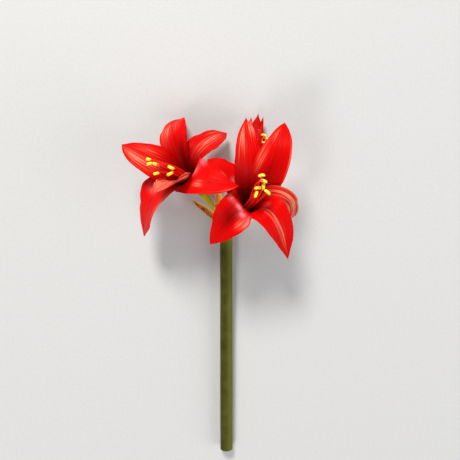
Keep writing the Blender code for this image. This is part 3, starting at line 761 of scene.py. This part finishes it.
def perianth_tube(bloom, rows=26, columns=96):
    """The trumpet under the tepals: a profile turned round the bloom's axis, with six low ribs.

    The profile runs up the outside, over a thin lip and down the inside to the floor. The inside takes
    the throat's near-black red, which is partly painted shade.
    """
    base, axis, side, up = bloom_places(bloom)
    turns = round_turns(columns)
    rise = np.linspace(0, TUBE_LENGTH, rows)
    wall = np.interp(rise, [0, 0.7 * TUBE_LENGTH, TUBE_LENGTH], [1.3 * MM, 1.6 * MM, 0.5 * MM])
    inner = rise[::-1].clip(TUBE_FLOOR)
    heights = np.concatenate([rise, inner])[:, None]
    radii = np.concatenate([tube_radius(rise), tube_radius(inner) - wall[::-1]])[:, None]
    out = np.repeat([1.0, 0.0], rows)[:, None]
    ribs = TUBE_RIB * out * np.cos(6 * turns) * smooth_step(0, 0.3 * TUBE_LENGTH, heights)
    spokes = around(turns[..., None], side, up)
    rings = base + heights[..., None] * axis + (radii + ribs)[..., None] * spokes
    return closed_sweep(rings, along=0.35 * (heights / TUBE_LENGTH - 1), across=np.sin(3 * turns), seed=1.5,
                        inside=1 - out, pale=0, sheen=0, open=0, rib=0)


def anther_turns(bloom):
    """The root's angle on the ring, the place and the heading of each anther, in turn so that none cross."""
    _, _, side, up = bloom_places(bloom)
    anthers = np.array(bloom["anthers"], float)
    tips = anthers[:, :3] * MM
    headings = np.radians(anthers[:, 3])
    spread = tips - tips.mean(axis=0)
    turns = np.arctan2(spread @ up, spread @ side)
    order = np.argsort(turns)
    even = np.arange(6) * FULL_TURN / 6
    return list(zip(even + (turns[order] - even).mean(), tips[order], headings[order]))


def stalk_body(curve, radii, sides, first_normal):
    """A thin round body: rings of the given radii along a curve."""
    rings = swept_rings(curve, radii[:, None], sides, first_normal)
    return closed_sweep(rings, along=np.linspace(0, 1, len(curve))[:, None],
                        across=np.sin(round_turns(sides)))


def stalk(points, radius, taper, rows=48, sides=14):
    """A thin stalk along a Bezier curve, a little thicker at its root than at its tip."""
    steps = np.linspace(0, 1, rows)
    radii = radius * (1 + taper * (0.5 - steps) + 0.04 * soft_noise(5, steps, 0, 6, 0))
    return stalk_body(smooth_curve(points, steps), radii, sides, STALK_NORMAL)


def anther_body(middle, lean, heading, order, stamens, rows=40, sides=28):
    """A crescent pollen sac on the end of its filament.

    Its section is a circle pinched by a seam along its outer and inner side, so that two sacs show.
    It is thickest in the middle, round at its ends and rough with grains.
    """
    along = np.array([math.cos(heading), math.sin(heading), 0])
    reach = unit(along - along @ lean * lean) * stamens.anther_length / 2
    droop = lean * stamens.anther_length * 0.30
    steps = np.linspace(0, 1, rows)
    back = middle - 0.75 * droop
    curve = smooth_curve([back - reach, middle + droop, back + reach], steps)
    ends = np.clip(1 - np.abs(2 * steps - 1) ** 5, 0.02, 1) ** 0.5
    turns = round_turns(sides)
    seam = np.abs(np.cos(turns))
    grains = 1 + 0.05 * soft_noise(11 + order, steps[:, None] * 9, turns / FULL_TURN * 5, 2, 1)
    plump = (ends * (0.9 + 0.15 * np.sin(np.pi * steps)))[:, None]
    radii = stamens.anther_radius * plump * (1 - 0.26 * seam ** 8) * grains
    return closed_sweep(swept_rings(curve, radii, sides, lean), seam=seam ** 10)


def stigma_lobe(tip, ahead, out, rows=16, sides=12):
    """A short blunt lobe that leaves the style's tip ahead and bends outwards."""
    steps = np.linspace(0, 1, rows)
    end = tip + STIGMA_LENGTH * (0.45 * ahead + 0.9 * out)
    curve = smooth_curve([tip - 0.5 * MM * ahead, tip + 1.5 * MM * ahead, end], steps)
    radii = STIGMA_RADIUS * (1 - 0.3 * steps) * np.clip(1 - steps ** 6, 0.05, 1) ** 0.5
    return stalk_body(curve, radii, sides, unit(np.cross(ahead, out)))


def scape_body(scape, rows=120, columns=128):
    """The hollow scape: a profile turned round its axis, with fine ribs along its skin.

    The profile starts at the rounded top, runs along the skin to the cut end, crosses the cut
    face and goes back up the bore to its closed end.
    """
    run = np.array([0, -SCAPE_LENGTH, -SCAPE_DROP])
    full = np.linalg.norm(run)
    run = run / full
    steps = np.linspace(0.02, 1, rows) * full
    skin = SCAPE_TOP_RADIUS + (SCAPE_CUT_RADIUS - SCAPE_TOP_RADIUS) * steps / full
    bore = np.linspace(full - 1 * MM, BORE_STOP, BORE_ROWS)
    places = np.concatenate([SCAPE_SHOULDER[:, 0] * MM, steps, full + CUT_FACE[:, 0], bore,
                             [BORE_STOP - 3 * MM]])[:, None]
    radii = np.concatenate([SCAPE_SHOULDER[:, 1] * SCAPE_TOP_RADIUS, skin, SCAPE_CUT_RADIUS - CUT_FACE[:, 1],
                            np.full(BORE_ROWS, BORE_RADIUS), [0.5 * BORE_RADIUS]])[:, None]
    on_skin = (np.arange(len(places)) < len(SCAPE_SHOULDER) + rows)[:, None].astype(float)
    turns = round_turns(columns)
    ribs = scape.rib * on_skin * (np.cos(21 * turns) + 0.6 * np.cos(34 * turns + 1))
    bulge = 0.12 * MM * on_skin * soft_noise(3, places / full, np.cos(turns), 4, 0.4)
    across = np.array([1.0, 0, 0])
    spokes = around(turns[..., None], across, np.cross(across, run))
    rings = places[..., None] * run + (radii + ribs + bulge)[..., None] * spokes
    young = 0.35 * (1 - smooth_step(-0.02, 0.12, places / full)) * on_skin
    # One of the values marks the side facing +X, where the skin gets painted light.
    return closed_sweep(rings, across=np.sin(turns / 2) * 2, along=places / full, young=young,
                        sunny=0.5 + 0.5 * np.cos(turns), cut=1 - on_skin)


def flower_stalk(bloom, rows=64, columns=60):
    """A stalk from the umbel that swells into the ovary, whose section has three soft lobes."""
    base, axis, _, _ = bloom_places(bloom)
    end = base - SEAT_GAP * axis
    start = unit(base * [1, 0.6, 0.7]) * 2 * MM
    steps = np.linspace(0, 1, rows)
    straight = [end - part * OVARY_LENGTH * axis for part in (1, 0.4, 0)]
    curve = smooth_curve([start, 0.45 * base, *straight], steps)
    ovary = OVARY_LENGTH / np.linalg.norm(np.diff(curve, axis=0), axis=1).sum()
    marks = [0, 1 - 1.35 * ovary, 1 - 0.85 * ovary, 1 - 0.45 * ovary, 1 - 0.15 * ovary, 1]
    radii = np.interp(steps, marks, [STALK_RADIUS, STALK_RADIUS, 0.75 * OVARY_RADIUS, OVARY_RADIUS,
                                     0.97 * OVARY_RADIUS, 0.88 * OVARY_RADIUS])
    window = np.hanning(9) / np.hanning(9).sum()
    radii = np.convolve(np.pad(radii, 4, mode="edge"), window, mode="valid")
    turns = round_turns(columns)
    swollen = ((radii - STALK_RADIUS) / (OVARY_RADIUS - STALK_RADIUS)).clip(0, 1)[:, None]
    lobes = 1 + swollen * (0.055 * np.cos(3 * turns) - 0.05 * np.abs(np.cos(1.5 * turns)) ** 12)
    rings = swept_rings(curve, radii[:, None] * lobes, columns, STALK_NORMAL)
    return closed_sweep(rings, across=np.sin(turns / 2) * 0.9, along=0.2 * steps[:, None],
                        young=smooth_step(-0.1, 0.35, steps)[:, None], sunny=0, cut=0)


def bract_blade(sizes, seed, rows=60, columns=25):
    """A papery bract: a narrow hollow blade along a Bezier curve, with crinkles and a curled tip."""
    root, bend, tip = (np.array(sizes[key]) * MM for key in ("root", "bend", "tip"))
    steps = np.linspace(0, 1, rows)
    midrib = smooth_curve([root, bend, tip], steps)
    tangents, normals = carried_frames(midrib, sizes["face"])
    q = steps[:, None]
    v = np.linspace(-1, 1, columns)[None]
    spread = (0.5 + 0.5 * np.sin(np.pi * q ** 0.8)) * np.sqrt(1 - q ** sizes["blunt"])
    half = np.maximum(sizes["half_width"] * spread, 0.5 * MM)
    half = half * (1 + 0.05 * soft_noise(seed, q, np.sign(v), 6, 0.4))
    crinkle = BRACT_CRINKLE * soft_noise(seed + 1, q, v, 5, 1.5) * smooth_step(0.05, 0.4, q)
    curl = BRACT_CURL * smooth_step(0.7, 1, q) * np.abs(v)
    relief = crinkle + BRACT_RIB * np.cos(FULL_TURN * 3 * v) + curl
    return arched_blade(midrib, np.cross(tangents, normals), normals, half, BRACT_CUP, v, relief,
                        BRACT_THICKNESS, along=q, across=v)


class AMARYLLIS_OT_scape(bpy.types.Operator):
    """Makes the scape with its flower stalks and ovaries"""
    bl_idname = "amaryllis.scape"
    bl_label = "Scape"

    def execute(self, context):
        scape = context.scene.amaryllis_scape
        skin = material("stalk_skin", scape_look, scape)
        piece("scape_stalk", [scape_body(scape)], "scape", skin)
        for place, bloom in BLOOMS.items():
            piece(f"flower_stalk_{place}", [flower_stalk(bloom)], "scape", skin)
        return {"FINISHED"}


class AMARYLLIS_OT_bracts(bpy.types.Operator):
    """Makes the papery bracts at the umbel"""
    bl_idname = "amaryllis.bracts"
    bl_label = "Bracts"

    def execute(self, context):
        paper = material("bract_paper", bract_look, context.scene.amaryllis_scape)
        for order, (place, sizes) in enumerate(BRACTS.items()):
            blade = bract_blade(sizes, 40 + 10 * order)
            piece(f"bract_{place}", [blade], f"spathe_{place}", paper)
        return {"FINISHED"}


class AMARYLLIS_OT_blooms(bpy.types.Operator):
    """Makes the perianth tube and the tepals of each bloom"""
    bl_idname = "amaryllis.blooms"
    bl_label = "Blooms"

    def execute(self, context):
        petals = context.scene.amaryllis_petals
        red = material("tepal_satin", petal_look, petals)
        for place, bloom in BLOOMS.items():
            piece(f"tube_{place}", [perianth_tube(bloom)], f"bloom_{place}", red)
            for order, petal in enumerate(bloom["tepals"]):
                piece(f"tepal_{place}_{order + 1}", [tepal_surface(bloom, petal, order, petals)],
                      f"bloom_{place}", red)
        return {"FINISHED"}


class AMARYLLIS_OT_stamens(bpy.types.Operator):
    """Makes the filaments and anthers of each bloom"""
    bl_idname = "amaryllis.stamens"
    bl_label = "Stamens"

    def execute(self, context):
        stamens = context.scene.amaryllis_stamens
        red = material("filament_red", filament_look, stamens.filament)
        pollen = material("pollen_yellow", pollen_look, stamens)
        for place, bloom in BLOOMS.items():
            base, axis, side, up = bloom_places(bloom)
            centre = base + RING_HEIGHT * axis
            stalks = []
            sacs = []
            for order, (turn, tip, heading) in enumerate(anther_turns(bloom)):
                root = centre + RING_RADIUS * around(turn, side, up)
                leave = root + STRAIGHT_SHARE * np.linalg.norm(tip - root) * axis
                stalks.append(stalk([root - 3 * MM * axis, leave, tip], stamens.filament_radius, 0.5))
                sacs.append(anther_body(tip, unit(tip - leave), heading, order, stamens))
            piece(f"filaments_{place}", stalks, f"stamens_{place}", red)
            piece(f"anthers_{place}", sacs, f"stamens_{place}", pollen)
        return {"FINISHED"}


class AMARYLLIS_OT_pistils(bpy.types.Operator):
    """Makes the style and the three stigma lobes of each bloom"""
    bl_idname = "amaryllis.pistils"
    bl_label = "Pistils"

    def execute(self, context):
        stamens = context.scene.amaryllis_stamens
        red = material("filament_red", filament_look, stamens.filament)
        pink = material("stigma_pink", filament_look, stamens.stigma)
        for place, bloom in BLOOMS.items():
            base, axis, _, _ = bloom_places(bloom)
            root = base + (TUBE_FLOOR + SEAT_GAP) * axis
            straight, bend, tip = (np.array(value) * MM for value in bloom["style"])
            ahead = unit(tip - bend)
            first, second = axis_frame(ahead)
            turns = np.radians([90, 210, 330])
            lobes = [stigma_lobe(tip, ahead, around(turn, first, second)) for turn in turns]
            style = stalk([root, root + straight * axis, bend, tip], STYLE_RADIUS, 0.25)
            piece(f"style_{place}", [style], f"pistil_{place}", red)
            piece(f"stigma_{place}", lobes, f"pistil_{place}", pink)
        return {"FINISHED"}


class AMARYLLIS_OT_stage(bpy.types.Operator):
    """Makes the floor, the lights and the camera"""
    bl_idname = "amaryllis.stage"
    bl_label = "Stage"

    def execute(self, context):
        stage = context.scene.amaryllis_stage
        self.floor(stage)
        self.lamp("key", (-0.22, 0.80, 0.72), stage.key, 0.9, (1.0, 0.97, 0.93))
        self.lamp("fill", (0.95, -0.35, 0.60), stage.fill, 2.2, (0.95, 0.97, 1.0))
        self.lamp("lift", (-0.45, -0.70, 0.80), stage.lift, 0.9, (1.0, 0.98, 0.95))
        self.sky(context, stage)
        self.camera(context, stage)
        context.scene.view_settings.view_transform = "Standard"
        return {"FINISHED"}

    def floor(self, stage):
        """A wide flat floor under the stem."""
        far = FLOOR_REACH
        mesh = bpy.data.meshes.new("floor")
        mesh.from_pydata([(-far, -far, 0), (far, -far, 0), (far, far, 0), (-far, far, 0)], [], [(0, 1, 2, 3)])
        mesh.materials.append(material("floor_pale", floor_look, stage))
        floor = linked("floor", mesh)

    def lamp(self, name, toward, power, size, tint):
        """A round soft light that shines on the blooms from the direction given."""
        data = bpy.data.lights.new(name, "AREA")
        data.shape = "DISK"
        data.energy = power
        data.size = size
        data.color = tint
        made = linked(name, data)
        made.location = UMBEL + np.array(LAMP_TARGET) + LAMP_DISTANCE * unit(toward)
        made.rotation_euler = (-Vector(toward)).to_track_quat("-Z", "Y").to_euler()

    def sky(self, context, stage):
        """Even pale light from all round."""
        world = bpy.data.worlds.new("pale_room")
        world.use_nodes = True
        inputs = world.node_tree.nodes["Background"].inputs
        inputs["Color"].default_value = (0.92, 0.94, 1.0, 1)
        inputs["Strength"].default_value = stage.air
        context.scene.world = world

    def camera(self, context, stage):
        """The photograph's view: almost straight down, from a little beyond the blooms."""
        back = np.array([0, math.cos(stage.elevation), math.sin(stage.elevation)])
        data = bpy.data.cameras.new("camera")
        data.sensor_width = 36
        data.lens = stage.lens
        made = linked("camera", data)
        made.location = UMBEL + np.array(CAMERA_TARGET) + stage.distance * back
        right = (1, 0, 0)
        axes = Matrix([right, np.cross(back, right), back])
        made.rotation_euler = axes.transposed().to_euler()
        context.scene.camera = made


class AMARYLLIS_PT_panel(bpy.types.Panel):
    """Lists the stem's pieces and their settings"""
    bl_idname = "AMARYLLIS_PT_panel"
    bl_label = "Amaryllis stem"
    bl_space_type = "VIEW_3D"
    bl_region_type = "UI"
    bl_category = "Amaryllis"

    def draw(self, context):
        layout = self.layout
        for operator in OPERATORS:
            layout.operator(operator.bl_idname)
        for name in SETTINGS:
            box = layout.box()
            settings = getattr(context.scene, name)
            for key in settings.bl_rna.properties.keys():
                if key not in ("rna_type", "name"):
                    box.prop(settings, key)


SETTINGS = {
    "amaryllis_petals": AmaryllisPetals,
    "amaryllis_stamens": AmaryllisStamens,
    "amaryllis_scape": AmaryllisScape,
    "amaryllis_stage": AmaryllisStage,
}
OPERATORS = (AMARYLLIS_OT_scape, AMARYLLIS_OT_bracts, AMARYLLIS_OT_blooms, AMARYLLIS_OT_stamens,
             AMARYLLIS_OT_pistils, AMARYLLIS_OT_stage)


def register():
    for made in (*SETTINGS.values(), *OPERATORS, AMARYLLIS_PT_panel):
        bpy.utils.register_class(made)
    for name, settings in SETTINGS.items():
        setattr(bpy.types.Scene, name, bpy.props.PointerProperty(type=settings))


def unregister():
    for name in SETTINGS:
        delattr(bpy.types.Scene, name)
    for made in (AMARYLLIS_PT_panel, *OPERATORS, *SETTINGS.values()):
        bpy.utils.unregister_class(made)


def main():
    register()
    bpy.ops.amaryllis.scape()
    bpy.ops.amaryllis.bracts()
    bpy.ops.amaryllis.blooms()
    bpy.ops.amaryllis.stamens()
    bpy.ops.amaryllis.pistils()
    bpy.ops.amaryllis.stage()


if __name__ == "__main__":
    main()
